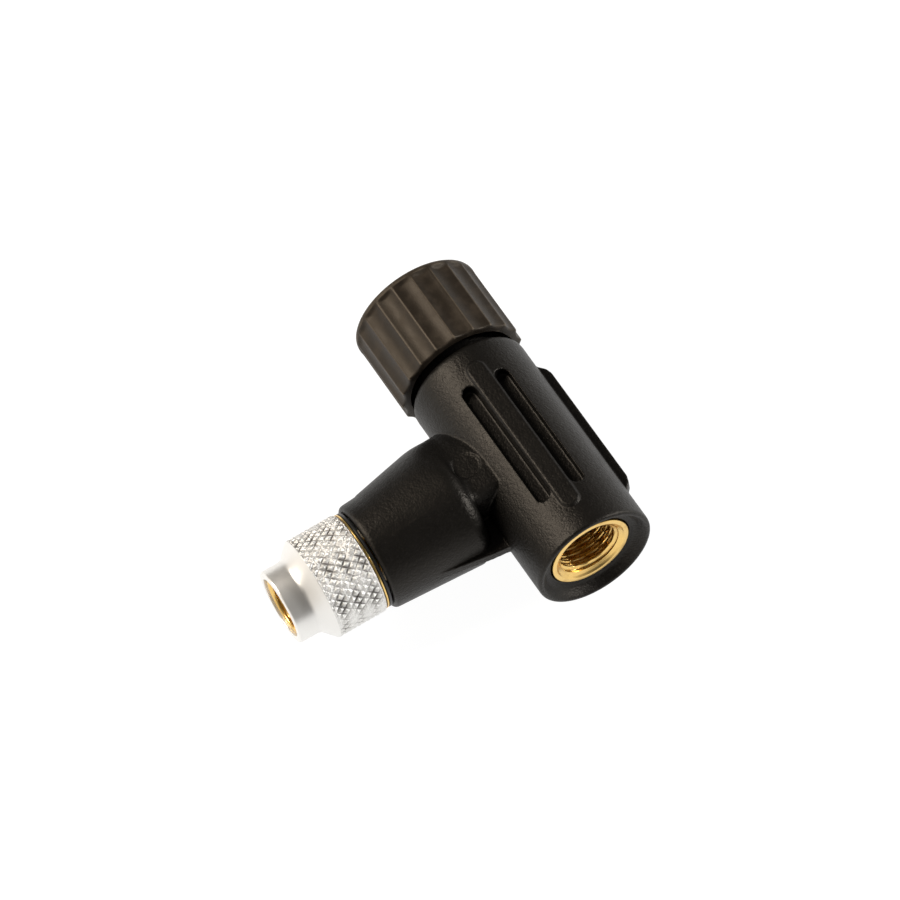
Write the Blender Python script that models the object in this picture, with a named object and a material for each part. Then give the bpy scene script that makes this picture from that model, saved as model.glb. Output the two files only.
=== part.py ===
"""CO2 cartridge inflator head for bicycle tyres: a T-shaped moulded body lying on its side.

The barrel lies along Y with the threaded cartridge socket at its -Y end and the control knob at its +Y end.
The arm points to -X and carries the swivelling chuck that screws onto the tyre valve.
Every length is in millimetres until it is placed, and a piece's own Z axis is the line that it is turned on.
"""
import bpy
import bmesh
from math import cos, pi, radians, sin
from mathutils import Matrix, Vector

for old in list(bpy.data.objects):
    bpy.data.objects.remove(old, do_unlink=True)

MM = 0.001
FINE = 48
COARSE = 24
FIT = 0.15

# Barrel, measured from its mouth along +Y
BARREL_R = 9.3
SHOULDER = 36.2
MOUTH_RECESS = 1.5
MOUTH_RECESS_R = 8.5
NECK_R = 6.9
NECK_TOP = 40.0
CORE_R = 6.35

# Control knob
KNOB_R = 10.13
KNOB_FOOT = 37.2
KNOB_TOP = 50.9
FLUTES = 20
FLUTE_DEPTH = 0.42

# Arm and chuck, measured from the barrel's axis along -X
ARM_Y = 18.6
ARM_END = 27.2
ARM_END_R = 8.25
BOSS_R = 9.1
BOSS_FOOT = 10.8
BOSS_FOOT_ROUND = 2.2
PAD_Z = 6.9
CHUCK_REACH = 41.6
COLLAR_R = 7.85
NOSE_R = 5.8

# Fin along the back of the barrel
FIN_REACH = 10.6

# Cartridge thread 3/8-24 UNF and tyre valve thread 8V1, as plain bores at mid-thread
CARTRIDGE_BORE_R = 4.45
VALVE_BORE_R = 3.75

# The object's box is centred on the origin and stands on Z = 0
BARREL_X = (CHUCK_REACH - FIN_REACH) / 2
MOUTH_Y = -KNOB_TOP / 2
AXIS_Z = KNOB_R
BODY = Matrix.Translation(Vector((BARREL_X, MOUTH_Y, AXIS_Z)) * MM)
BARREL = BODY @ Matrix.Rotation(radians(-90), 4, "X")
ARM = BODY @ Matrix.Translation((0, ARM_Y * MM, 0)) @ Matrix.Rotation(radians(-90), 4, "Y")


def material(name, colour, roughness, metallic=0.0):
    mat = bpy.data.materials.new(name)
    mat.use_nodes = True
    shader = mat.node_tree.nodes["Principled BSDF"]
    shader.inputs["Base Color"].default_value = (*colour, 1.0)
    shader.inputs["Roughness"].default_value = roughness
    shader.inputs["Metallic"].default_value = metallic
    return mat


NYLON = material("satin_black_nylon", (0.020, 0.019, 0.018), 0.42)
KNOB_PLASTIC = material("warm_grey_black_plastic", (0.050, 0.044, 0.038), 0.60)
BRASS = material("turned_brass", (0.83, 0.60, 0.24), 0.24, 1.0)
ALUMINIUM = material("bright_aluminium", (0.86, 0.86, 0.85), 0.22, 1.0)
STEEL = material("stainless_steel", (0.58, 0.57, 0.55), 0.28, 1.0)
RUBBER = material("black_rubber", (0.016, 0.016, 0.017), 0.75)
SEAT_NYLON = material("white_nylon", (0.78, 0.76, 0.70), 0.45)
BLACK_ACETAL = material("black_acetal", (0.012, 0.012, 0.012), 0.35)


def finish(name, bm, line, mat):
    bmesh.ops.recalc_face_normals(bm, faces=bm.faces)
    mesh = bpy.data.meshes.new(name)
    bm.to_mesh(mesh)
    bm.free()
    obj = bpy.data.objects.new(name, mesh)
    bpy.context.collection.objects.link(obj)
    obj.matrix_world = line
    if mat:
        mesh.materials.append(mat)
    return obj


def lathe(name, profile, line, mat=None, segments=FINE):
    """Body of revolution about its own Z from a closed loop of (height, radius) points."""
    bm = bmesh.new()
    verts = [bm.verts.new((radius * MM, 0, height * MM)) for height, radius in profile]
    for a, b in zip(verts, verts[1:] + verts[:1]):
        if a.co.x > 0 or b.co.x > 0:
            bm.edges.new((a, b))
    bmesh.ops.spin(bm, geom=bm.verts[:] + bm.edges[:], axis=(0, 0, 1), angle=2 * pi, steps=segments,
                   use_merge=True)
    bmesh.ops.remove_doubles(bm, verts=bm.verts, dist=1e-7)
    return finish(name, bm, line, mat)


def loft(name, rings, line, mat=None):
    """Closed body through rings of equally many (x, y, z) points, capped at both ends."""
    bm = bmesh.new()
    rows = [[bm.verts.new(Vector(point) * MM) for point in ring] for ring in rings]
    for low, high in zip(rows, rows[1:]):
        for i in range(len(low)):
            j = (i + 1) % len(low)
            bm.faces.new((low[i], low[j], high[j], high[i]))
    bm.faces.new(rows[0])
    bm.faces.new(rows[-1])
    return finish(name, bm, line, mat)


def prism(name, outline, low, high, line, mat=None):
    return loft(name, [[(x, y, z) for x, y in outline] for z in (low, high)], line, mat)


def arc(radius, start, end, steps, centre=(0, 0)):
    """Points on a circle from one angle to another, in degrees."""
    angles = [radians(start + (end - start) * i / steps) for i in range(steps + 1)]
    return [(centre[0] + radius * cos(a), centre[1] + radius * sin(a)) for a in angles]


def polygon(sides, radius):
    return arc(radius, 0, 360 - 360 / sides, sides - 1)


def stadium(half_width, low, high, x=0.0, steps=6):
    """Straight-sided outline with round ends, its length along Y."""
    top = arc(half_width, 0, 180, steps, (x, high - half_width))
    return top + arc(half_width, 180, 360, steps, (x, low + half_width))


def split_ring(name, inner, outer, low, high, line, mat, opening=70):
    sweep = (opening / 2, 360 - opening / 2)
    outline = arc(outer, *sweep, 16) + arc(inner, sweep[1], sweep[0], 16)
    return prism(name, outline, low, high, line, mat)


def torus(name, height, major, minor, line, mat):
    section = [(height + z, major + r) for r, z in arc(minor, 0, 324, 9)]
    return lathe(name, section, line, mat, COARSE)


def combine(target, tool, operation):
    """Boolean a hidden tool with a piece."""
    tool.hide_render = True
    tool.display_type = "WIRE"
    boolean = target.modifiers.new(tool.name, "BOOLEAN")
    boolean.operation = operation
    boolean.object = tool


def cut(target, tool):
    combine(target, tool, "DIFFERENCE")


def join(target, tool):
    combine(target, tool, "UNION")


# Body housing: one glass-filled nylon moulding, with the barrel, the neck under the knob and the arm
housing = lathe("body_housing", [
    (0.0, MOUTH_RECESS_R), (0.0, 8.85), (0.14, 9.16), (0.45, BARREL_R),
    (SHOULDER - 0.7, BARREL_R), (SHOULDER - 0.2, 9.15), (SHOULDER, 8.7), (SHOULDER, NECK_R),
    (NECK_TOP, NECK_R), (NECK_TOP, 6.0), (35.8, 6.0), (35.8, CORE_R + FIT),
    (MOUTH_RECESS, CORE_R + FIT), (MOUTH_RECESS, MOUTH_RECESS_R)], BARREL, NYLON, 64)

# Round boss of the arm, with a rounded foot that stops short of the barrel
foot = [(BOSS_FOOT + BOSS_FOOT_ROUND + z, BOSS_R - BOSS_FOOT_ROUND + r)
        for z, r in arc(BOSS_FOOT_ROUND, 180, 90, 6)]
boss = lathe("housing_boss", [(BOSS_FOOT, 0.0)] + foot + [
    (ARM_END - 0.7, ARM_END_R + 0.05), (ARM_END - 0.2, ARM_END_R - 0.15), (ARM_END, ARM_END_R - 0.6),
    (ARM_END, 7.2), (ARM_END - 0.8, 7.2), (ARM_END - 0.8, 0.0)], ARM)
join(housing, boss)

# Shoulder of the arm: it widens towards the knob side and drops to a flat pad beside the barrel
SHOULDER_MOUTH_SIDE = (-4.0, -2.0)


def shoulder_section(reach, rise, height, round_off):
    """Half an ellipse on the knob side; on the mouth side level (0) or falling away with the boss (1)."""
    mouth_side = [(height * (1 - round_off * (y / BOSS_R) ** 2) ** 0.5, y) for y in SHOULDER_MOUTH_SIDE]
    crown = [(height * cos(a), rise * sin(a)) for a in (radians(8 * i) for i in range(12))]
    half = mouth_side + crown
    outline = half + [(-z, y) for z, y in reversed(half)]
    return [(-reach, ARM_Y + y, z) for z, y in outline]


shoulder_sections = [shoulder_section(*place) for place in (
    (5.0, 11.5, PAD_Z, 0), (10.5, 11.3, PAD_Z, 0), (12.0, 11.2, 7.35, 0.3), (13.5, 11.0, 8.15, 0.8),
    (15.0, 10.7, 8.7, 1), (24.0, 8.6, 8.38, 1))]
join(housing, loft("housing_shoulder", shoulder_sections, BODY))

# Thin web in the parting plane, straight from the boss to the barrel on both sides
WEB_HALF = 0.8
web_side = [(-7.5, 10.6), (-12.0, 10.1), (-21.0, 8.5)]
web_edge = web_side + [(x, -y) for x, y in reversed(web_side)]
web = prism("housing_web", [(x, ARM_Y + y) for x, y in web_edge], -WEB_HALF, WEB_HALF, BODY)
join(housing, web)

# Grip rib on each flat side of the barrel and the fin along its back
RIB_TOP = 9.62
for side, label in ((1, "upper"), (-1, "lower")):
    rings = [[(x, y, side * z) for x, y in stadium(width, low, high)] for z, width, low, high in (
        (7.0, 1.45, 4.1, 32.7), (RIB_TOP - 0.2, 1.45, 4.1, 32.7), (RIB_TOP, 1.2, 4.35, 32.45))]
    join(housing, loft("housing_rib_" + label, rings, BODY))
fin_side = [(8.0, 6.2), (9.3, 6.4), (FIN_REACH - 0.3, 7.6), (FIN_REACH, 8.6),
            (FIN_REACH, 29.4), (FIN_REACH - 0.3, 30.4), (9.3, 31.6), (8.0, 31.8)]
join(housing, prism("housing_fin", fin_side, -1.1, 1.1, BODY))

# Two shallow slots beside each rib, sunk straight in from the sides
SLOT_FLOOR = 7.7
for side in (1, -1):
    for x in (-2.75, 2.75):
        tool = prism("housing_slot", stadium(1.1, 7.3, 29.8, x), side * SLOT_FLOOR, side * 11, BODY)
        cut(housing, tool)

# Bores for the brass core, the outlet tube and its flange
cut(housing, lathe("housing_bore", [
    (MOUTH_RECESS + 0.5, 0.0), (MOUTH_RECESS + 0.5, CORE_R + FIT), (35.6, CORE_R + FIT), (35.6, 0.0)],
    BARREL, segments=64))
cut(housing, lathe("housing_port", [
    (3.0, 0.0), (3.0, 2.65), (25.0, 2.65), (25.0, 4.4), (28.0, 4.4), (28.0, 0.0)], ARM))

# Cartridge insert: the turned brass socket that the cartridge's neck screws into
INSERT_FACE = 1.3
INSERT_END = 15.0
lathe("cartridge_insert", [
    (INSERT_FACE, 5.2), (INSERT_FACE, CORE_R - 0.15), (INSERT_FACE + 0.15, CORE_R), (INSERT_END, CORE_R),
    (INSERT_END, 5.2), (12.1, 5.2), (12.1, CARTRIDGE_BORE_R), (2.0, CARTRIDGE_BORE_R)], BARREL, BRASS)

# Piercing set: gasket, carrier and the hollow steel lance that opens the cartridge
lathe("cartridge_gasket", [(10.9, 1.5), (10.9, 4.25), (12.0, 4.25), (12.0, 1.5)], BARREL, RUBBER)
lathe("lance_carrier", [(12.25, 1.35), (12.25, 5.05), (14.8, 5.05), (14.8, 1.35)], BARREL, BRASS)
lathe("piercing_lance", [
    (8.3, 0.4), (8.3, 0.5), (10.0, 1.2), (14.7, 1.2), (14.7, 0.4)], BARREL, STEEL, COARSE)

# Valve body: brass sleeve with the valve chamber, the stem bore and the side pocket for the outlet tube
valve_body = lathe("valve_body", [
    (15.2, 0.8), (15.2, 6.3), (35.6, 6.3), (35.6, 5.35), (34.5, 5.35), (34.5, 4.1), (27.2, 4.1),
    (27.2, 2.05), (23.2, 2.05), (23.2, 2.4), (16.15, 2.4), (16.15, 0.8)], BARREL, BRASS)
cut(valve_body, lathe("outlet_pocket", [
    (1.0, 0.0), (1.0, 1.3), (4.3, 1.3), (4.3, 2.65), (7.5, 2.65), (7.5, 0.0)], ARM, segments=COARSE))
lathe("valve_seat", [(16.25, 0.7), (16.25, 2.3), (17.0, 2.3), (17.0, 0.7)], BARREL, SEAT_NYLON, COARSE)

# Valve plug: a brass hexagon that doesn't turn, with a soft pad that closes the seat
plug = prism("valve_plug", polygon(6, 2.15), 17.35, 21.2, BARREL, BRASS)
cut(plug, lathe("plug_recess", [(16.0, 0.0), (16.0, 1.6), (18.0, 1.6), (18.0, 0.0)], BARREL,
                segments=COARSE))
cut(plug, lathe("plug_socket", [(19.0, 0.0), (19.0, 1.05), (22.0, 1.05), (22.0, 0.0)], BARREL,
                segments=COARSE))
lathe("plug_seal", [(17.15, 0.0), (17.15, 1.45), (17.85, 1.45), (17.85, 0.0)], BARREL, RUBBER, COARSE)

# Spindle: brass screw that lifts the plug, with its seal and the ring that stops it coming out
lathe("valve_spindle", [
    (19.2, 0.0), (19.2, 0.9), (21.4, 0.9), (21.4, 1.9), (24.0, 1.9), (24.0, 1.25), (25.2, 1.25),
    (25.2, 1.9), (27.7, 1.9), (27.7, 1.5), (28.3, 1.5), (28.3, 1.9), (28.8, 1.9), (28.8, 2.9),
    (39.4, 2.9), (39.8, 2.4), (46.4, 2.4), (46.4, 1.45), (40.8, 1.45), (40.8, 0.0)],
    BARREL, BRASS, COARSE)
torus("spindle_oring", 24.6, 1.64, 0.35, BARREL, RUBBER)
split_ring("stop_ring", 1.6, 3.3, 27.8, 28.2, BARREL, STEEL)

# Bonnet nut: brass gland with the spindle's thread, screwed into the valve body over a seal
bonnet = prism("bonnet_nut", polygon(6, 5.8), 36.0, 38.6, BARREL, BRASS)
join(bonnet, lathe("bonnet_shank", [(30.0, 0.0), (30.0, 3.95), (37.0, 3.95), (37.0, 0.0)], BARREL,
                   segments=COARSE))
cut(bonnet, lathe("bonnet_bore", [(29.0, 0.0), (29.0, 3.0), (39.5, 3.0), (39.5, 0.0)], BARREL,
                  segments=COARSE))
torus("bonnet_oring", 35.2, 4.68, 0.55, BARREL, RUBBER)

# Control knob: plastic cap with a hub for the spindle, held by a screw from the top.
# Its flutes run out below a plain round band at the top.


def fluted(height, inset, depth=FLUTE_DEPTH, points_each=4):
    ring = []
    for i in range(FLUTES * points_each):
        phase = (i / points_each) % 1.0
        radius = KNOB_R - inset - depth * (1 - (2 * phase - 1) ** 2)
        angle = 2 * pi * i / (FLUTES * points_each)
        ring.append((radius * cos(angle), radius * sin(angle), height))
    return ring


knob = loft("control_knob", [
    fluted(KNOB_FOOT, 0.25), fluted(KNOB_FOOT + 0.25, 0.0), fluted(KNOB_TOP - 1.3, 0.0),
    fluted(KNOB_TOP - 0.8, 0.0, 0.0), fluted(KNOB_TOP - 0.2, 0.2, 0.0), fluted(KNOB_TOP, 0.6, 0.0)],
    BARREL, KNOB_PLASTIC)
cut(knob, lathe("knob_cavity", [
    (36.0, 2.55), (36.0, 8.6), (43.0, 8.6), (43.0, 5.2), (40.5, 5.2), (40.5, 2.55)], BARREL))
cut(knob, lathe("knob_hub_bore", [(35.5, 0.0), (35.5, 2.6), (46.5, 2.6), (46.5, 0.0)], BARREL,
                segments=COARSE))
cut(knob, lathe("knob_screw_well", [
    (46.0, 0.0), (46.0, 1.5), (47.8, 1.5), (47.8, 4.2), (52.0, 4.2), (52.0, 0.0)], BARREL,
    segments=COARSE))
screw = lathe("knob_screw", [
    (41.2, 0.0), (41.2, 1.3), (47.95, 1.3), (47.95, 2.8), (49.3, 2.8), (49.7, 2.3), (49.7, 0.0)],
    BARREL, STEEL, COARSE)
cut(screw, prism("screw_socket", polygon(6, 1.45), 48.5, 51.0, BARREL))

# Outlet tube: brass pipe from the valve chamber to the chuck, which turns on its outer end
lathe("outlet_tube", [
    (4.5, 1.3), (4.5, 2.5), (5.0, 2.5), (5.0, 1.85), (5.9, 1.85), (5.9, 2.5), (25.2, 2.5), (25.2, 4.2),
    (26.2, 4.2), (26.2, 2.9), (29.6, 2.9), (29.6, 2.4), (30.2, 2.4), (30.2, 2.9), (31.2, 2.9),
    (31.2, 2.15), (32.2, 2.15), (32.2, 2.9), (32.8, 2.9), (32.8, 1.3)], ARM, BRASS, COARSE)
torus("outlet_oring", 5.45, 2.22, 0.33, ARM, RUBBER)
torus("swivel_oring", 31.7, 2.6, 0.38, ARM, RUBBER)
split_ring("retaining_ring", 2.5, 3.75, 29.65, 30.15, ARM, STEEL)
lathe("thrust_washer", [(27.4, 3.1), (27.4, 7.6), (27.8, 7.6), (27.8, 3.1)], ARM, BLACK_ACETAL)

# Chuck core: brass swivel with a thin flange behind the collar and the valve thread in its nose
CORE_NOSE_R = 4.5
CORE_FLANGE_R = 7.6
lathe("chuck_core", [
    (27.95, 3.05), (27.95, CORE_FLANGE_R), (28.2, CORE_FLANGE_R), (28.2, 5.2), (35.8, 5.2), (35.8, CORE_NOSE_R), (41.2, CORE_NOSE_R),
    (41.2, VALVE_BORE_R + 0.4), (40.8, VALVE_BORE_R), (34.4, VALVE_BORE_R), (34.4, 1.2), (33.0, 1.2),
    (33.0, 3.05), (30.4, 3.05), (30.4, 3.9), (29.4, 3.9), (29.4, 3.05)], ARM, BRASS)

# Chuck collar: aluminium grip sleeve pressed over the core
lathe("chuck_collar", [
    (28.35, 5.2 + FIT), (28.35, COLLAR_R - 0.25), (28.6, COLLAR_R), (36.2, COLLAR_R),
    (36.45, COLLAR_R - 0.25), (38.0, NOSE_R + 0.2), (38.5, NOSE_R), (CHUCK_REACH - 0.3, NOSE_R),
    (CHUCK_REACH, NOSE_R - 0.3), (CHUCK_REACH, CORE_NOSE_R + FIT), (35.95, CORE_NOSE_R + FIT),
    (35.95, 5.2 + FIT)], ARM, ALUMINIUM)

# Rubber seal and the pin that presses the tyre valve open
lathe("valve_seal", [(34.55, 1.95), (34.55, 3.6), (36.3, 3.6), (36.3, 1.95)], ARM, RUBBER)
vanes = [((1.7 if i % 4 < 2 else 0.85) * cos(a), (1.7 if i % 4 < 2 else 0.85) * sin(a))
         for i, a in enumerate(2 * pi * k / 12 for k in range(12))]
depressor = prism("valve_depressor", vanes, 34.55, 35.3, ARM, BRASS)
join(depressor, lathe("depressor_pin", [
    (34.8, 0.0), (34.8, 0.7), (36.8, 0.7), (37.0, 0.5), (37.0, 0.0)], ARM, segments=COARSE))
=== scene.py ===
"""CO2 cartridge inflator head for bicycle tyres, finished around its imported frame.

Shapes are in millimetres. A turned piece is made about its own Z, with height 0 at the end where its line
starts: the barrel's line runs in from the cartridge socket, and the arm's line runs out to the valve chuck.
"""
from math import cos, pi, radians, sin

import bmesh
import bpy
import numpy as np
from mathutils import Matrix, Vector


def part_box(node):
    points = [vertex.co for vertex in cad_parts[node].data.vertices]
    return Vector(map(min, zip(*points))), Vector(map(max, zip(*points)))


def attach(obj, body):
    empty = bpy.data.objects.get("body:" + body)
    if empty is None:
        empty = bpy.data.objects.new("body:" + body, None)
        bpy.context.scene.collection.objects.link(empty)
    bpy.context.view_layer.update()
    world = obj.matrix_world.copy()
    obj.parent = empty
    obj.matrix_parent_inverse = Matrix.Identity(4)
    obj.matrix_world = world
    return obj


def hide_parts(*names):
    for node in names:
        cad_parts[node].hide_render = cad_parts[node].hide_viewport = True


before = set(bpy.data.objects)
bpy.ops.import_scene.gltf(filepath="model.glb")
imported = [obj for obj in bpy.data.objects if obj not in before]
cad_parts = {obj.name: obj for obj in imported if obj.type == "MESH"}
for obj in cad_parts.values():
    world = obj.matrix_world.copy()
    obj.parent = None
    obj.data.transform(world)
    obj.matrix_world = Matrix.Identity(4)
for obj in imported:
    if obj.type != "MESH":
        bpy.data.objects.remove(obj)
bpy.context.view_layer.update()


# ---------------------------------------------------------------------------------------------------------
# Body housing: barrel, neck, arm boss, pad and web in one moulding of glass-filled black nylon.
# It is injection moulded in two halves of a tool that part on the plane of the T, around the brass pieces.
# Every edge is eased by the tool, and the satin skin shows a fine spark-eroded grain.

MM = 0.001
insert_low, insert_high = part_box("cartridge_insert")
washer_low, washer_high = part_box("thrust_washer")
AXIS = (insert_low + insert_high) / 2
MOUTH = Vector((AXIS.x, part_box("body_housing")[0].y, AXIS.z))
ARM_Y = ((washer_low.y + washer_high.y) / 2 - MOUTH.y) / MM

ALONG_BARREL = Matrix.Rotation(radians(-90), 4, "X")
ALONG_ARM = Matrix.Rotation(radians(-90), 4, "Y")
BARREL = Matrix.Translation(MOUTH) @ ALONG_BARREL


class Socket:
    """A shader node's output. It takes part in sums like a number, and adds other nodes to its material."""

    def __init__(self, tree, plug=None):
        self.tree = tree
        self.plug = plug

    def node(self, kind, settings, inputs, output=0):
        made = self.tree.nodes.new("ShaderNode" + kind)
        for name, value in settings.items():
            setattr(made, name, value)
        for name, value in inputs.items():
            if isinstance(value, Socket):
                self.tree.links.new(value.plug, made.inputs[name])
            else:
                made.inputs[name].default_value = value
        return Socket(self.tree, made.outputs[output])

    def math(self, operation, first, second=0.0):
        return self.node("Math", {"operation": operation}, {0: first, 1: second})

    def __add__(self, other):
        return self.math("ADD", self, other)

    def __rsub__(self, other):
        return self.math("SUBTRACT", other, self)

    def __mul__(self, other):
        return self.math("MULTIPLY", self, other)

    def __abs__(self):
        return self.math("ABSOLUTE", self)

    __radd__ = __add__

    def root(self):
        return self.math("SQRT", self)

    def rise(self, low, high):
        """0 up to low, 1 from high on, and smooth between them."""
        return self.node("MapRange", {"interpolation_type": "SMOOTHSTEP"},
                         {"Value": self, "From Min": low, "From Max": high})

    def tint(self, none, full):
        """From one colour to another as this value goes from 0 to 1."""
        shades = {slot: (*shade, 1.0) if isinstance(shade, tuple) else shade
                  for slot, shade in ((6, none), (7, full))}
        return self.node("Mix", {"data_type": "RGBA"}, {0: self, **shades}, 2)

    def grain(self, size, detail):
        """Soft random pattern with spots of about this size, in the units of this position."""
        return self.node("TexNoise", {}, {"Vector": self, "Scale": 1 / size, "Detail": detail})

    def part(self, axis):
        return self.node("SeparateXYZ", {}, {0: self}, axis)


class Finish:
    """A material under way: its position in millimetres in the piece's axes, and what its shader is fed."""

    def __init__(self, name, **fixed):
        self.material = bpy.data.materials.new(name)
        self.material.use_nodes = True
        tree = self.material.node_tree
        self.shader = tree.nodes["Principled BSDF"]
        for socket, value in fixed.items():
            self.shader.inputs[socket.replace("_", " ")].default_value = value
        self.start = Socket(tree)
        where = self.start.node("TexCoord", {}, {}, "Object")
        self.place = where.node("VectorMath", {"operation": "SCALE"}, {0: where, "Scale": 1 / MM})

    def relief(self):
        """How far the mesh stands out here from its plain turned shape, in millimetres."""
        return self.start.node("Attribute", {"attribute_name": "relief"}, {}, "Fac")

    def edges(self, low, high):
        """From 0 in hollows below low to 1 on edges above high, on a scale where a flat face is 0.5."""
        return self.start.node("NewGeometry", {}, {}, "Pointiness").rise(low, high)

    def feed(self, colour, roughness, height, depth):
        """Links the colour, the roughness and a bump whose height of 1 is a depth in millimetres."""
        tree = self.material.node_tree
        normal = height.node("Bump", {}, {"Height": height, "Distance": depth * MM}, "Normal")
        for socket, value in (("Base Color", colour), ("Roughness", roughness), ("Normal", normal)):
            tree.links.new(value.plug, self.shader.inputs[socket])
        return self.material


def moulded_nylon():
    """Satin black with a fine leathery grain, flow marks, small scuffs and the tool's parting line."""
    finish = Finish("moulded_nylon", IOR=1.50, Specular_IOR_Level=0.30,
                    Specular_Tint=(1.0, 0.91, 0.80, 1.0))
    fine = finish.place.grain(0.28, 4)
    leather = finish.place.grain(0.60, 2)
    flow = finish.place.grain(3.5, 3)
    scuffs = finish.place.grain(0.35, 4).rise(0.62, 0.72)
    edges = finish.edges(0.52, 0.62)
    parting = 1 - abs(finish.place.part("Y")).rise(0.03, 0.10)
    worn = edges * (0.10 + scuffs * 0.5) + scuffs * 0.10
    colour = worn.tint((0.0010, 0.0009, 0.0008), (0.045, 0.040, 0.035))
    roughness = 0.33 + flow * 0.12 + fine * 0.12
    return finish.feed(colour, roughness, fine + leather * 0.8 + flow * 0.3 + parting * 0.5, 0.075)


def arc(radius, start, end, steps, centre=(0, 0)):
    """Points on a circle from one angle to another, in degrees."""
    angles = [radians(start + (end - start) * i / steps) for i in range(steps + 1)]
    return [(centre[0] + radius * cos(a), centre[1] + radius * sin(a)) for a in angles]


def soften(corners, steps=5):
    """Closed outline from (height, radius) corners; a third number eases that corner over that length."""
    outline = []
    for i, (height, radius, *ease) in enumerate(corners):
        corner = Vector((height, radius))
        if not ease:
            outline.append(tuple(corner))
            continue
        before = Vector(corners[i - 1][:2]) - corner
        after = Vector(corners[(i + 1) % len(corners)][:2]) - corner
        start = corner + before.normalized() * ease[0]
        end = corner + after.normalized() * ease[0]
        for s in (k / steps for k in range(steps + 1)):
            outline.append(tuple(start * (1 - s) ** 2 + corner * 2 * s * (1 - s) + end * s ** 2))
    return outline


def make(name, verts, faces, relief=None):
    """Closed mesh from points in millimetres, with doubled points merged and faces turned outwards."""
    mesh = bpy.data.meshes.new(name)
    mesh.from_pydata(verts, [], faces)
    if relief is not None:
        mesh.attributes.new("relief", "FLOAT", "POINT").data.foreach_set("value", relief)
    bm = bmesh.new()
    bm.from_mesh(mesh)
    bmesh.ops.remove_doubles(bm, verts=bm.verts, dist=1e-4)
    bmesh.ops.recalc_face_normals(bm, faces=bm.faces)
    bm.to_mesh(mesh)
    bm.free()
    obj = bpy.data.objects.new(name, mesh)
    bpy.context.collection.objects.link(obj)
    return obj


def turned(name, outline, segments=128, relief=None):
    """Body of revolution about its own Z from a closed outline.
    relief(angle, height, radius) gives how far each point stands out from it."""
    points = np.array(outline)
    angle, height = np.meshgrid(np.arange(segments) * 2 * pi / segments, points[:, 0])
    radius = np.repeat(points[:, 1:], segments, axis=1)
    raised = relief(angle, height, radius) if relief else np.zeros_like(radius)
    radius = radius + raised
    verts = np.stack((radius * np.cos(angle), radius * np.sin(angle), height), -1).reshape(-1, 3)
    faces = []
    for i in range(len(points)):
        j = (i + 1) % len(points)
        if points[i, 1] == 0 and points[j, 1] == 0:
            continue
        for k in range(segments):
            n = (k + 1) % segments
            faces.append((i * segments + k, i * segments + n, j * segments + n, j * segments + k))
    return make(name, verts.tolist(), faces, raised.ravel())


def lofted(name, rings):
    """Closed body through rings of equally many (x, y, z) points."""
    count = len(rings[0])
    verts = [point for ring in rings for point in ring]
    faces = [tuple(range(count)), tuple(range(len(verts) - count, len(verts)))]
    for low in range(0, len(verts) - count, count):
        faces += [(low + k, low + (k + 1) % count, low + count + (k + 1) % count, low + count + k)
                  for k in range(count)]
    return make(name, verts, faces)


def prism(name, outline, low, high):
    return lofted(name, [[(x, y, z) for x, y in outline] for z in (low, high)])


def settle(obj, *modifiers):
    """Works the modifiers given, and those the piece has, into its mesh."""
    for kind, settings in modifiers:
        made = obj.modifiers.new(kind.lower(), kind)
        for name, value in settings.items():
            setattr(made, name, value)
    solid = bpy.data.meshes.new_from_object(obj.evaluated_get(bpy.context.evaluated_depsgraph_get()))
    obj.modifiers.clear()
    obj.data = solid
    return obj


def shaped(target, tools):
    """Adds and cuts away tool shapes, which are dropped afterwards."""
    for operation, tool, place in tools:
        tool.matrix_world = place
        boolean = target.modifiers.new(tool.name, "BOOLEAN")
        boolean.operation = operation
        boolean.object = tool
    settle(target)
    for _, tool, _ in tools:
        bpy.data.objects.remove(tool)
    return target


def finished(obj, line, body, node, material, crease=35):
    """Brings a piece from millimetres to its place, gives it its material and hands it to its body."""
    obj.data.transform(Matrix.Scale(MM, 4))
    obj.data.shade_smooth()
    obj.data.set_sharp_from_angle(angle=radians(crease))
    obj.data.materials.clear()
    obj.data.materials.append(material)
    obj.matrix_world = line
    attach(obj, body)
    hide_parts(node)
    return obj


BARREL_R = 9.3
SHOULDER = 36.2
NECK_R = 6.9
NECK_TOP = 40.0
NECK_BORE_R = 6.0
CORE_BORE_R = 6.5
CORE_BORE_END = 35.8
LIP = 1.5
LIP_R = 8.6
LIP_FLOOR_R = 7.4

barrel = turned("moulded_housing", soften([
    (0, LIP_R, 0.15), (0, BARREL_R, 0.55), (SHOULDER, BARREL_R, 1.5), (SHOULDER, NECK_R),
    (NECK_TOP, NECK_R, 0.3), (NECK_TOP, NECK_BORE_R), (CORE_BORE_END, NECK_BORE_R),
    (CORE_BORE_END, CORE_BORE_R), (LIP, CORE_BORE_R), (LIP, LIP_FLOOR_R, 0.4)]), 192)

BOSS_FOOT = 10.8
BOSS_FOOT_ROUND = 2.2
BOSS_R = 9.1
ARM_END = 27.2
ARM_END_R = 8.25
POCKET_FLOOR = 26.4
POCKET_R = 7.2
foot = arc(BOSS_FOOT_ROUND, 180, 90, 12, (BOSS_FOOT + BOSS_FOOT_ROUND, BOSS_R - BOSS_FOOT_ROUND))
boss = turned("boss", [(BOSS_FOOT, 0)] + foot + soften([
    (POCKET_FLOOR, ARM_END_R + 0.05), (ARM_END, ARM_END_R, 0.75), (ARM_END, POCKET_R, 0.2),
    (POCKET_FLOOR, POCKET_R), (POCKET_FLOOR, 0)]), 160)

PAD_Z = 6.9


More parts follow.
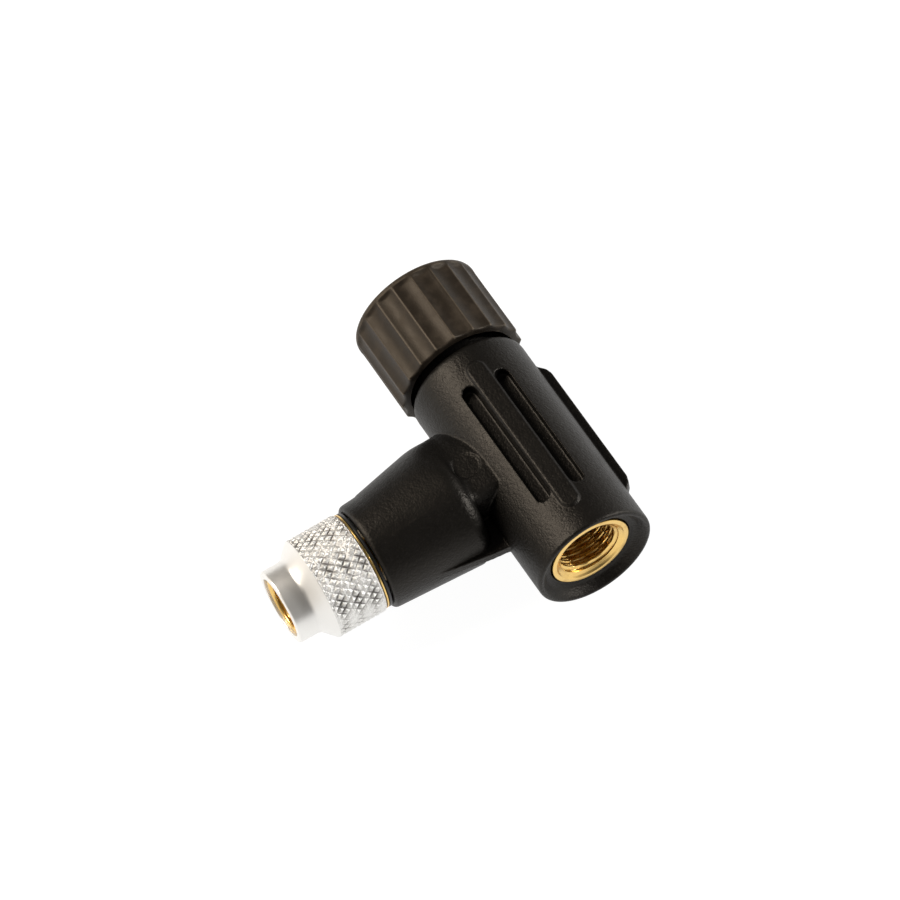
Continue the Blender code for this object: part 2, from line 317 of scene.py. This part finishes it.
def shoulder_section(reach, rise, height, round_off):
    """Half an ellipse on the knob side and an eased edge on the mouth side. Between them the faces are level
    where round_off is 0, and fall away as the round boss does where it is 1."""
    eased = ((-1.3, -4.5), (-0.6, -4.35), (-0.2, -3.95), (0, -3.3), (0, -2.0), (0, -1.0))
    mouth_side = [(height * (1 - round_off * (y / BOSS_R) ** 2) ** 0.5 + drop, y) for drop, y in eased]
    crown = [(height * cos(a), rise * sin(a)) for a in (radians(3 * i) for i in range(30))]
    half = mouth_side + crown
    outline = half + [(-z, y) for z, y in reversed(half)]
    return [(-reach, ARM_Y + y, z) for z, y in outline]


shoulder = lofted("shoulder", [shoulder_section(*place) for place in (
    (5.0, 11.5, PAD_Z, 0), (10.0, 11.35, PAD_Z, 0), (10.8, 11.3, 7.15, 0.15), (11.6, 11.2, 7.7, 0.4),
    (12.6, 11.1, 8.4, 0.75), (13.6, 10.95, 8.85, 0.95), (14.6, 10.8, 9.02, 1), (16.0, 10.45, 8.98, 1),
    (24.0, 8.6, 8.38, 1))])

WEB_HALF = 0.8
web_side = [(-7.5, 10.6), (-12.0, 10.1), (-21.0, 8.5)]
web_edge = web_side + [(x, -y) for x, y in reversed(web_side)]
web = prism("web", [(x, ARM_Y + y) for x, y in web_edge], -WEB_HALF, WEB_HALF)

FIN_REACH = 10.6
FIN_HALF = 1.1
fin_side = [(8.0, 6.2), (9.3, 6.4), (FIN_REACH - 0.3, 7.6), (FIN_REACH, 8.6),
            (FIN_REACH, 29.4), (FIN_REACH - 0.3, 30.4), (9.3, 31.6), (8.0, 31.8)]
fin = prism("fin", fin_side, -FIN_HALF, FIN_HALF)


def stadium(half_width, low, high, x=0.0):
    """Straight-sided outline with round ends, its length along Y."""
    top = arc(half_width, 0, 180, 12, (x, high - half_width))
    return top + arc(half_width, 180, 360, 12, (x, low + half_width))


RIB_TOP = 9.62
RIB_HALF = 1.45
RIB_EASE = 0.2
SLOT_FLOOR = 7.2
SLOT_HALF = 1.1
SLOT_ASIDE = 2.75
upright = ALONG_BARREL.inverted()
ribs_and_slots = []
for side in (1, -1):
    rings = [[(x, y, side * z) for x, y in stadium(width, low, high)] for z, width, low, high in (
        (7.0, RIB_HALF, 4.1, 32.7), (RIB_TOP - RIB_EASE, RIB_HALF, 4.1, 32.7),
        (RIB_TOP, RIB_HALF - RIB_EASE, 4.3, 32.5))]
    ribs_and_slots.append(("UNION", lofted("rib", rings), upright))
for side in (1, -1):
    for x in (-SLOT_ASIDE, SLOT_ASIDE):
        slot = prism("slot", stadium(SLOT_HALF, 7.3, 29.8, x), side * SLOT_FLOOR, side * 11)
        ribs_and_slots.append(("DIFFERENCE", slot, upright))

PORT_R = 2.65
PORT_MOUTH_R = 4.4
core_bore = turned("core_bore", [(2.0, 0), (2.0, CORE_BORE_R), (35.6, CORE_BORE_R), (35.6, 0)], 160)
port = turned("port", [
    (3.0, 0), (3.0, PORT_R), (25.0, PORT_R), (25.0, PORT_MOUTH_R), (28.0, PORT_MOUTH_R), (28.0, 0)], 96)

# A plain round dish, moulded into the pad on one side
SPOT_R = 2.2
SPOT_FLOOR = PAD_Z - 0.4
SPOT_PLACE = (-9.0, 19.95, 0)
spot = turned("spot", [(SPOT_FLOOR, 0), (SPOT_FLOOR, SPOT_R), (PAD_Z + 1, SPOT_R), (PAD_Z + 1, 0)], 64)

arm_in_barrel = upright @ Matrix.Translation((0, ARM_Y, 0)) @ ALONG_ARM
shaped(barrel, [
    ("UNION", boss, arm_in_barrel), ("UNION", shoulder, upright), ("UNION", web, upright),
    ("UNION", fin, upright),
    *ribs_and_slots,
    ("DIFFERENCE", core_bore, Matrix.Identity(4)), ("DIFFERENCE", port, arm_in_barrel),
    ("DIFFERENCE", spot, upright @ Matrix.Translation(SPOT_PLACE))])

# The mould's eased edges: the whole surface is rebuilt in cells of this size and then smoothed a little
SKIN_CELL = 0.14
SKIN_ROUNDS = 3
settle(barrel, ("REMESH", {"mode": "VOXEL", "voxel_size": SKIN_CELL, "use_smooth_shade": True}),
       ("SMOOTH", {"factor": 0.5, "iterations": SKIN_ROUNDS}))

# On its knob side the arm flows into the barrel: a stronger smoothing of the outer surface, between a start
# and an end along the arm, that fades out at both of them and towards the mouth
BLEND_START = 10.2
BLEND_END = 19.0
BLEND_STEPS = 10
BLEND_ROUNDS = 260
points = np.empty(len(barrel.data.vertices) * 3)
barrel.data.vertices.foreach_get("co", points)
across, depth, along = points.reshape(-1, 3).T
outward = np.hypot(along - ARM_Y, depth)
span = np.clip((-across - BLEND_START) / 1.2, 0, 1) * np.clip((BLEND_END + across) / 3.5, 0, 1)
share = span * np.clip((along - ARM_Y + 4.0) / 2.0, 0, 1) * np.clip((outward - 6.6) / 0.4, 0, 1)
blend = barrel.vertex_groups.new(name="blend")
for step in range(1, BLEND_STEPS + 1):
    blend.add(np.flatnonzero(np.round(share * BLEND_STEPS) == step).tolist(), step / BLEND_STEPS, "REPLACE")
settle(barrel, ("SMOOTH", {"factor": 0.5, "iterations": BLEND_ROUNDS, "vertex_group": "blend"}))

MOULDED_TRIANGLES = 190_000
triangles = sum(len(face.vertices) - 2 for face in barrel.data.polygons)
settle(barrel, ("DECIMATE", {"ratio": min(1.0, MOULDED_TRIANGLES / triangles)}))
finished(barrel, BARREL, "head", "body_housing", moulded_nylon(), crease=60)


# ---------------------------------------------------------------------------------------------------------
# Cartridge insert: the brass socket that the cartridge's neck screws into, turned from bar and moulded in.
# Its 3/8-24 UNF thread is cut with a tap behind a small lead-in chamfer.

CARTRIDGE_PITCH = 25.4 / 24
CARTRIDGE_ROOT_R = 4.95
CARTRIDGE_THREAD_DEPTH = 0.50


def from_mouth(node):
    """The barrel's line, starting at this node's end nearest the mouth."""
    low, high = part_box(node)
    return Matrix.Translation((MOUTH.x, low.y, MOUTH.z)) @ ALONG_BARREL


def divided(outline, radius, spacing):
    """Outline with its sides at this radius split into short steps, to carry a relief."""
    points = []
    for start, end in zip(outline, outline[1:] + outline[:1]):
        at_radius = abs(start[1] - radius) < 0.01 and abs(end[1] - radius) < 0.01
        count = max(1, round(abs(end[0] - start[0]) / spacing)) if at_radius else 1
        points += [tuple(Vector(start).lerp(Vector(end), i / count)) for i in range(count)]
    return points


def inside_thread(pitch, depth, bore_r, low, high):
    """Relief of a right-hand thread that stands inwards from a bore of the root's radius. Its crests and
    roots are flat, and it fades in and out over half a turn."""
    def relief(angle, height, radius):
        turn = (height / pitch - angle / (2 * pi)) % 1.0
        tooth = np.clip(2.4 * np.abs(2 * turn - 1) - 0.7, 0.0, 1.0)
        run_in = np.clip((height - low) / (0.5 * pitch), 0, 1)
        run_out = np.clip((high - height) / (0.5 * pitch), 0, 1)
        in_bore = np.abs(radius - bore_r) < 0.02
        fade = run_in * run_out
        return np.where(in_bore, -depth * tooth * fade, 0.0)
    return relief


def turned_brass(name, axis="Z", centre=(0, 0, 0)):
    """Bright free-cutting brass with tool rings about its axis, warm tarnish in patches, and painted shade
    in its hollows.
    """
    finish = Finish(name, Metallic=1.0)
    here = finish.place.node("VectorMath", {"operation": "SUBTRACT"}, {0: finish.place, 1: centre})
    first, second = (here.part(letter) for letter in "XYZ" if letter != axis)
    radius = (first * first + second * second).root()
    ring = here.node("CombineXYZ", {}, {"X": radius, "Z": here.part(axis)})
    tool_rings = ring.grain(0.07, 1)
    bloom = finish.place.grain(2.2, 3)
    # Painted shade: hollows such as the thread's roots are darkened in the colour, towards the tarnish
    # brown.
    hollow_shade = 1 - finish.edges(0.44, 0.50)
    tarnish_and_hollow_shade = bloom.rise(0.50, 0.80) * 0.35 + hollow_shade * 0.5
    colour = tarnish_and_hollow_shade.tint((0.81, 0.55, 0.19), (0.32, 0.16, 0.045))
    return finish.feed(colour, 0.20 + bloom * 0.08 + tool_rings * 0.08, tool_rings, 0.002)


insert_brass = turned_brass("insert_brass")
insert_thread = inside_thread(CARTRIDGE_PITCH, CARTRIDGE_THREAD_DEPTH, CARTRIDGE_ROOT_R, 0.4, 10.6)
insert_outline = soften([
    (0.0, 5.65, 0.06), (0.0, 6.35, 0.18), (13.7, 6.35, 0.1), (13.7, 5.2), (10.8, 5.2),
    (10.8, CARTRIDGE_ROOT_R), (0.55, CARTRIDGE_ROOT_R), (0.25, 5.4, 0.08)])
insert_outline = divided(insert_outline, CARTRIDGE_ROOT_R, CARTRIDGE_PITCH / 12)
insert = turned("threaded_insert", insert_outline, 144, insert_thread)
finished(insert, from_mouth("cartridge_insert"), "head", "cartridge_insert", insert_brass,
         crease=50)


# ---------------------------------------------------------------------------------------------------------
# Piercing set: a rubber gasket, and the hollow steel lance that a brass carrier holds, deep in the socket.
# The lance is ground to a point, and the gasket is punched from sheet.

def rubber():
    """Matt black rubber with a dusty bloom and fine moulding grain."""
    finish = Finish("rubber", IOR=1.5)
    dust = finish.place.grain(0.8, 4).rise(0.45, 0.75)
    fine = finish.place.grain(0.08, 2)
    colour = dust.tint((0.013, 0.013, 0.014), (0.040, 0.038, 0.036))
    return finish.feed(colour, 0.62 + dust * 0.2 + fine * 0.08, fine + dust * 0.3, 0.006)


def ground_steel():
    """Stainless steel with a fine ground grain and small variations of polish."""
    finish = Finish("ground_steel", Metallic=1.0)
    fine = finish.place.grain(0.05, 2)
    polish = finish.place.grain(1.2, 3)
    colour = polish.tint((0.56, 0.55, 0.53), (0.70, 0.69, 0.67))
    return finish.feed(colour, 0.20 + polish * 0.14 + fine * 0.06, fine, 0.003)


rubber_finish = rubber()
steel_finish = ground_steel()
gasket_outline = soften([(0, 1.5, 0.1), (0, 4.2, 0.12), (1.1, 4.2, 0.12), (1.1, 1.5, 0.1)])
gasket = turned("punched_gasket", gasket_outline)
finished(gasket, from_mouth("cartridge_gasket"), "head", "cartridge_gasket", rubber_finish)
lance = turned("ground_lance", soften([
    (0, 0.4), (0, 0.5, 0.04), (1.7, 1.2, 0.2), (6.4, 1.2, 0.05), (6.4, 0.4)]), 64)
finished(lance, from_mouth("piercing_lance"), "head", "piercing_lance", steel_finish)


# ---------------------------------------------------------------------------------------------------------
# Control knob: a cap with twenty shallow flutes, moulded in a matt, warm grey-black plastic.
# A hub inside drives the spindle, and the rim runs just clear of the barrel's shoulder.

KNOB_R = 10.13
KNOB_LENGTH = 13.7
FLUTES = 20
FLUTE_DEPTH = 0.50
PLAIN_BAND = 0.8
RIM_BORE_R = 8.6
HUB_R = 5.2
HUB_BORE_R = 2.6
WELL_R = 4.2


def fluted(angle, height, radius):
    """Wide hollow flutes between narrow rounded ridges, on the outside, that run out below a plain band."""
    across = np.abs(2 * ((angle * FLUTES / (2 * pi)) % 1.0) - 1)
    hollow = 1 - across ** 2
    hollow = hollow ** 2 / (hollow + 0.10)
    outside = np.clip((radius - 8.9) / 0.9, 0, 1)
    run_out = np.clip((KNOB_LENGTH - PLAIN_BAND - height) / 0.5, 0, 1)
    return -FLUTE_DEPTH * hollow * outside * run_out


def knob_plastic():
    """Matt warm grey-black with a coarse grain, dusty patches and rubbed ridges."""
    finish = Finish("knob_plastic", IOR=1.48, Specular_IOR_Level=0.34, Specular_Tint=(1.0, 0.86, 0.70, 1.0))
    fine = finish.place.grain(0.14, 3)
    cloud = finish.place.grain(1.8, 4)
    rubbed = finish.relief().rise(-0.12, 0.02) * finish.edges(0.51, 0.56)
    dusty = cloud.rise(0.4, 0.7)
    base = dusty.tint((0.014, 0.0103, 0.0071), (0.027, 0.0202, 0.0142))
    colour = (rubbed * (0.55 + fine * 0.5)).tint(base, (0.150, 0.122, 0.090))
    return finish.feed(colour, 0.44 + dusty * 0.10 + fine * 0.08, fine + cloud * 0.4, 0.026)


knob_outline = soften([
    (0, RIM_BORE_R, 0.15), (0, KNOB_R, 0.35), (KNOB_LENGTH, KNOB_R, 0.6), (KNOB_LENGTH, KNOB_R - 0.8),
    (KNOB_LENGTH, KNOB_R - 1.1), (KNOB_LENGTH, WELL_R + 0.5), (KNOB_LENGTH, WELL_R, 0.2),
    (10.6, WELL_R), (10.6, 1.5), (9.3, 1.5), (9.3, HUB_BORE_R), (3.3, HUB_BORE_R, 0.1), (3.3, HUB_R, 0.1),
    (5.8, HUB_R), (5.8, RIM_BORE_R, 0.4)])
knob = turned("fluted_knob", divided(knob_outline, KNOB_R, 0.2), FLUTES * 16, fluted)
finished(knob, from_mouth("control_knob"), "knob", "control_knob", knob_plastic(), crease=50)


# ---------------------------------------------------------------------------------------------------------
# Knob screw: a small stainless socket screw, turned and broached, that holds the knob on its spindle.
# Its head sits at the bottom of the well in the knob's end.

HEAD_R = 2.8
screw = turned("knob_socket_screw", soften([
    (0, 0), (0, 1.3, 0.3), (6.75, 1.3), (6.75, HEAD_R, 0.12), (8.5, HEAD_R, 0.45), (8.5, 0)]), 96)
socket_tool = prism("hexagon", arc(1.45, 0, 300, 5), 7.3, 10)
shaped(screw, [("DIFFERENCE", socket_tool, Matrix.Identity(4))])
finished(screw, from_mouth("knob_screw"), "knob", "knob_screw", steel_finish)


# ---------------------------------------------------------------------------------------------------------
# Thrust washer: a thin turned ring of black acetal, between the arm's end and the turning chuck.
# Only its edge shows, as a dark line.

def to_valve(node):
    """The arm's line, starting at this node's end nearest the barrel."""
    low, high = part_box(node)
    return Matrix.Translation((high.x, MOUTH.y + ARM_Y * MM, MOUTH.z)) @ ALONG_ARM


def black_acetal():
    """Smooth slippery black plastic with faint turning marks."""
    finish = Finish("black_acetal", IOR=1.48)
    fine = finish.place.grain(0.12, 2)
    cloud = finish.place.grain(1.5, 3)
    colour = cloud.tint((0.008, 0.008, 0.008), (0.016, 0.015, 0.015))
    return finish.feed(colour, 0.32 + cloud * 0.1 + fine * 0.05, fine, 0.004)


washer = turned("acetal_washer", soften([(0, 3.1), (0, 7.6, 0.08), (0.4, 7.6, 0.08), (0.4, 3.1)]))
finished(washer, to_valve("thrust_washer"), "head", "thrust_washer", black_acetal())


# ---------------------------------------------------------------------------------------------------------
# Chuck core: the turned brass swivel that grips the tyre valve, with its fine 8V1 thread in the nose.
# Its thin flange shows as a gold line behind the collar.

VALVE_PITCH = 25.4 / 32
VALVE_ROOT_R = 3.90
VALVE_THREAD_DEPTH = 0.36
FLANGE_R = 7.6
core_thread = inside_thread(VALVE_PITCH, VALVE_THREAD_DEPTH, VALVE_ROOT_R, 6.6, 12.9)
core_outline = soften([
    (0, 3.05), (0, FLANGE_R, 0.05), (0.25, FLANGE_R, 0.05), (0.25, 5.2), (7.85, 5.2), (7.85, 4.5),
    (13.25, 4.5, 0.12), (13.25, 4.15, 0.08), (13.0, VALVE_ROOT_R), (6.45, VALVE_ROOT_R),
    (6.45, 1.2), (5.05, 1.2), (5.05, 3.05), (2.45, 3.05), (2.45, 3.9), (1.45, 3.9), (1.45, 3.05)])
core = turned("threaded_core", divided(core_outline, VALVE_ROOT_R, VALVE_PITCH / 12), 144, core_thread)
finished(core, to_valve("chuck_core"), "chuck", "chuck_core", insert_brass, crease=50)


# ---------------------------------------------------------------------------------------------------------
# Chuck collar: the bright aluminium grip pressed over the core, turned with a smooth cone and nose.
# Its wide end is rolled with a coarse diamond knurl.

COLLAR_R = 7.85
NOSE_R = 5.8
KNURL_END = 7.85
KNURLS = 38
KNURL_PITCH = 1.50
KNURL_DEPTH = 0.38
KNURL_FADE = 0.25


def knurled(angle, height, radius):
    """Two crossed sets of rolled V grooves of uneven depth, which leave small diamonds with blunt tips."""
    around = angle * KNURLS / (2 * pi)
    along = height / KNURL_PITCH
    crossing = [np.abs(2 * ((around + way * along) % 1.0) - 1) for way in (1, -1)]
    groove = np.clip(np.maximum(*crossing) - 0.22, 0, 1) / 0.78
    uneven = 0.65 + 0.35 * np.sin(5 * angle + 1.1 * height) * np.sin(3 * angle - 1.4 * height + 1)
    outside = radius > COLLAR_R - 0.02
    fade = np.clip(height / KNURL_FADE, 0, 1) * np.clip((KNURL_END - height) / KNURL_FADE, 0, 1)
    return np.where(outside, -KNURL_DEPTH * groove * fade * uneven, 0.0)


def bright_aluminium():
    """Bare turned aluminium: tool rings on cone and nose, and a torn knurl whose pits are darkened with
    painted shade and uneven grime.
    """
    finish = Finish("bright_aluminium", Metallic=0.75)
    first, second = finish.place.part("X"), finish.place.part("Y")
    radius = (first * first + second * second).root()
    ring = finish.place.node("CombineXYZ", {}, {"X": radius, "Z": finish.place.part("Z")})
    tool_rings = ring.grain(0.09, 2)
    handled = finish.place.grain(1.1, 4)
    torn = finish.place.grain(0.24, 3) * (1 - finish.place.part("Z").rise(KNURL_END - 0.1, KNURL_END))
    # Painted shade mixed with uneven grime: the colour darkens in the knurl's pits, and the roughness rises
    # there.
    pit_shade_and_grime = (1 - finish.relief().rise(-KNURL_DEPTH * 0.85, -KNURL_DEPTH * 0.35)) * (0.5 + handled * 0.7)
    colour = pit_shade_and_grime.tint((0.84, 0.83, 0.805), (0.09, 0.08, 0.07))
    roughness = 0.28 + handled * 0.10 + tool_rings * 0.06 + pit_shade_and_grime * 0.2
    return finish.feed(colour, roughness, tool_rings * 0.03 + torn, 0.20)


collar_outline = soften([
    (0.25, COLLAR_R), (KNURL_END, COLLAR_R), (8.15, COLLAR_R - 0.28), (9.65, NOSE_R + 0.2),
    (10.2, NOSE_R, 0.2), (13.25, NOSE_R, 0.35), (13.25, 4.65, 0.15), (7.6, 4.65), (7.6, 5.35),
    (0, 5.35), (0, COLLAR_R - 0.28)])
collar = turned("knurled_collar", divided(collar_outline, COLLAR_R, KNURL_PITCH / 20), KNURLS * 12, knurled)
finished(collar, to_valve("chuck_collar"), "chuck", "chuck_collar", bright_aluminium(), crease=40)


# ---------------------------------------------------------------------------------------------------------
# Valve seal and depressor: a soft moulded rubber ring at the bottom of the valve thread, and a brass pin
# that pushes the tyre valve's own pin open. The pin stands on a three-armed stamped star.

seal_outline = soften([(0, 1.95, 0.1), (0, 3.6, 0.1), (1.75, 3.6, 0.3), (1.75, 1.95, 0.3)])
seal = turned("moulded_valve_seal", seal_outline)
finished(seal, to_valve("valve_seal"), "chuck", "valve_seal", rubber_finish)

STAR_R = 1.7
STAR_WAIST = 0.8
star = []
for k in range(96):
    turn = 2 * pi * k / 96
    share = 0.5 + 0.5 * cos(3 * (turn - pi / 12))
    reach = STAR_WAIST + (STAR_R - STAR_WAIST) * share ** 0.5
    star.append((reach * cos(turn), reach * sin(turn)))
pin = turned("pin", soften([(0.2, 0), (0.2, 0.7), (2.45, 0.7, 0.25), (2.45, 0)]), 48)
depressor = shaped(prism("valve_depressor_pin", star, 0, 0.75), [("UNION", pin, Matrix.Identity(4))])
finished(depressor, to_valve("valve_depressor"), "chuck", "valve_depressor", insert_brass)


# ---------------------------------------------------------------------------------------------------------
# Inner works: the turned brass, the springy steel rings, the O-rings and the nylon seat inside the moulding.
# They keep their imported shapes, with a small bevel from deburring.

def white_nylon():
    """Unfilled nylon, a little yellowed and waxy."""
    finish = Finish("white_nylon", IOR=1.53, Subsurface_Weight=0.2)
    cloud = finish.place.grain(1.0, 3)
    fine = finish.place.grain(0.1, 2)
    colour = cloud.tint((0.80, 0.78, 0.72), (0.72, 0.68, 0.58))
    return finish.feed(colour, 0.38 + cloud * 0.12, fine + cloud * 0.5, 0.006)


barrel_brass = turned_brass("barrel_line_brass", "Y", tuple(AXIS / MM))
arm_brass = turned_brass("arm_line_brass", "X", (0, MOUTH.y / MM + ARM_Y, AXIS.z / MM))
inner_works = {
    "lance_carrier": barrel_brass, "valve_body": barrel_brass, "valve_plug": barrel_brass,
    "valve_spindle": barrel_brass, "bonnet_nut": barrel_brass, "outlet_tube": arm_brass,
    "stop_ring": steel_finish, "retaining_ring": steel_finish, "valve_seat": white_nylon(),
    "plug_seal": rubber_finish, "spindle_oring": rubber_finish, "bonnet_oring": rubber_finish,
    "outlet_oring": rubber_finish, "swivel_oring": rubber_finish}
DEBURR = 0.06
for node, material in inner_works.items():
    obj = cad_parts[node]
    obj.data.materials.clear()
    obj.data.materials.append(material)
    bevel = obj.modifiers.new("deburr", "BEVEL")
    bevel.width = DEBURR * MM
    bevel.segments = 2
    bevel.limit_method = "ANGLE"
    bevel.angle_limit = radians(40)


# ---------------------------------------------------------------------------------------------------------
# Stage: a plain white floor, pale walls, two soft lights, and a camera with a long lens that looks down on
# the head from the socket's end. The floor's own glow makes nearly all of its white.

FLOOR_HALF = 1.5
PAPER_GLOW = 0.97
floor_mesh = bpy.data.meshes.new("floor")
floor_corners = [(-FLOOR_HALF, -FLOOR_HALF, 0), (FLOOR_HALF, -FLOOR_HALF, 0),
                 (FLOOR_HALF, FLOOR_HALF, 0), (-FLOOR_HALF, FLOOR_HALF, 0)]
floor_mesh.from_pydata(floor_corners, [], [(0, 1, 2, 3)])
floor = bpy.data.objects.new("floor", floor_mesh)
bpy.context.collection.objects.link(floor)
paper = bpy.data.materials.new("white_paper")
paper.use_nodes = True
paper_shader = paper.node_tree.nodes["Principled BSDF"]
paper_shader.inputs["Base Color"].default_value = (0.15, 0.15, 0.15, 1)
paper_shader.inputs["Roughness"].default_value = 0.9
paper_shader.inputs["Specular IOR Level"].default_value = 0.0
paper_shader.inputs["Emission Color"].default_value = (1, 1, 1, 1)
paper_shader.inputs["Emission Strength"].default_value = PAPER_GLOW
floor_mesh.materials.append(paper)

# Pale warm walls at the two sides, the left one brighter, and dim ones before, behind and overhead
world = bpy.data.worlds.new("studio")
world.use_nodes = True
sky = Socket(world.node_tree).node("TexCoord", {}, {}, "Generated")
backdrop = world.node_tree.nodes["Background"]
sides = (0 - sky.part("X")).rise(-0.3, 0.3).tint((0.44, 0.41, 0.37), (0.85, 0.80, 0.73))
walls = abs(sky.part("X")).rise(0.15, 0.80).tint((0.12, 0.115, 0.11), sides)
studio = sky.part("Z").rise(0.30, 0.78).tint(walls, (0.07, 0.068, 0.066))
world.node_tree.links.new(studio.plug, backdrop.inputs["Color"])
backdrop.inputs["Strength"].default_value = 1.0
bpy.context.scene.world = world


def softbox(name, place, size, power, colour):
    """Square area light aimed at the middle of the head."""
    light = bpy.data.lights.new(name, "AREA")
    light.size = size
    light.energy = power
    light.color = colour
    obj = bpy.data.objects.new(name, light)
    obj.location = place
    aim = Vector((0, 0, MOUTH.z)) - Vector(place)
    obj.rotation_euler = aim.to_track_quat("-Z", "Y").to_euler()
    bpy.context.collection.objects.link(obj)


softbox("key", (-0.40, 0.36, 0.58), 0.30, 5.8, (1.0, 0.92, 0.82))
softbox("fill", (0.60, -0.20, 0.30), 0.12, 3.5, (1.0, 1.0, 1.0))

AZIMUTH, ELEVATION, ROLL = radians(-22.07), radians(59.81), radians(-10.75)
DISTANCE = 964.3
ASIDE, ABOVE = -20.08, 14.47
LENS = 270.8
back = Vector((sin(AZIMUTH) * cos(ELEVATION), -cos(AZIMUTH) * cos(ELEVATION), sin(ELEVATION)))
level_right = Vector((0, 0, 1)).cross(back).normalized()
level_up = back.cross(level_right)
right = cos(ROLL) * level_right + sin(ROLL) * level_up
up = back.cross(right)
socket_face = Vector((AXIS.x, insert_low.y, AXIS.z))
camera = bpy.data.objects.new("camera", bpy.data.cameras.new("camera"))
bpy.context.collection.objects.link(camera)
camera.location = socket_face + DISTANCE * MM * back
aimed = (camera.location - socket_face - (ASIDE * right + ABOVE * up) * MM).normalized()
aimed_right = up.cross(aimed).normalized()
aimed_up = aimed.cross(aimed_right)
turn = Matrix((aimed_right, aimed_up, aimed)).transposed().to_4x4()
camera.matrix_world = Matrix.Translation(camera.location) @ turn
camera.data.lens = LENS
camera.data.sensor_width = 36
camera.data.clip_start = 0.05
camera.data.clip_end = 10
bpy.context.scene.camera = camera
bpy.context.scene.view_settings.view_transform = "Standard"
